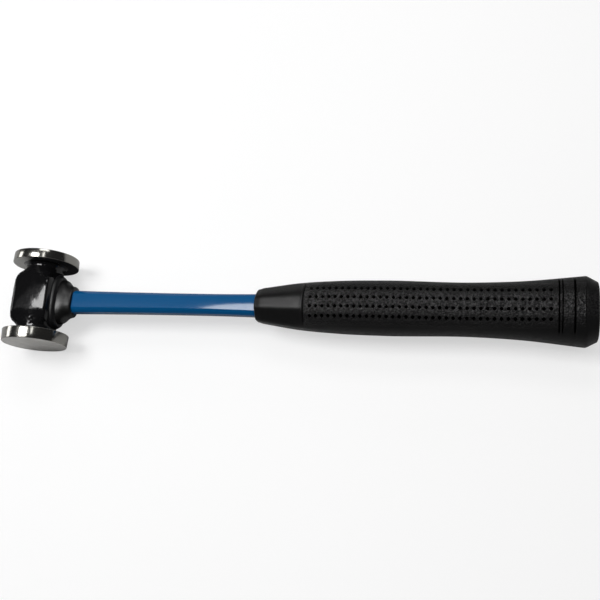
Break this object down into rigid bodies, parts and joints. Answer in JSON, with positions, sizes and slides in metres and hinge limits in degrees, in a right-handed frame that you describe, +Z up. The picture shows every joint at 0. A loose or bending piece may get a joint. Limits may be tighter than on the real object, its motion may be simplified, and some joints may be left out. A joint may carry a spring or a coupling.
{
  "type": "double-faced body hammer",
  "caption": "Panel-beating hammer with two flat round faces on short necks, an oval eye, a slim blue fibreglass handle and a flared black rubber grip.",
  "frame": {"origin": "under the middle of the whole hammer, on the surface that it lies on", "axes": "+X along the handle from the head to the butt of the grip, +Y along the head towards the thin face, +Z up, out of the head's cheek"},
  "size_m": [0.3344, 0.0532, 0.0381],
  "materials": {
    "ground_steel": "finely ground",
    "black_enamel": "gloss",
    "resin": "satin",
    "collar_black": "satin",
    "fibreglass_blue": "gloss",
    "rubber_black": "satin"
  },
  "bodies": {
    "root": {"hammer_head": "ground_steel", "eye_resin": "resin", "collar": "collar_black", "handle": "fibreglass_blue", "grip": "rubber_black"}
  },
  "joints": []
}
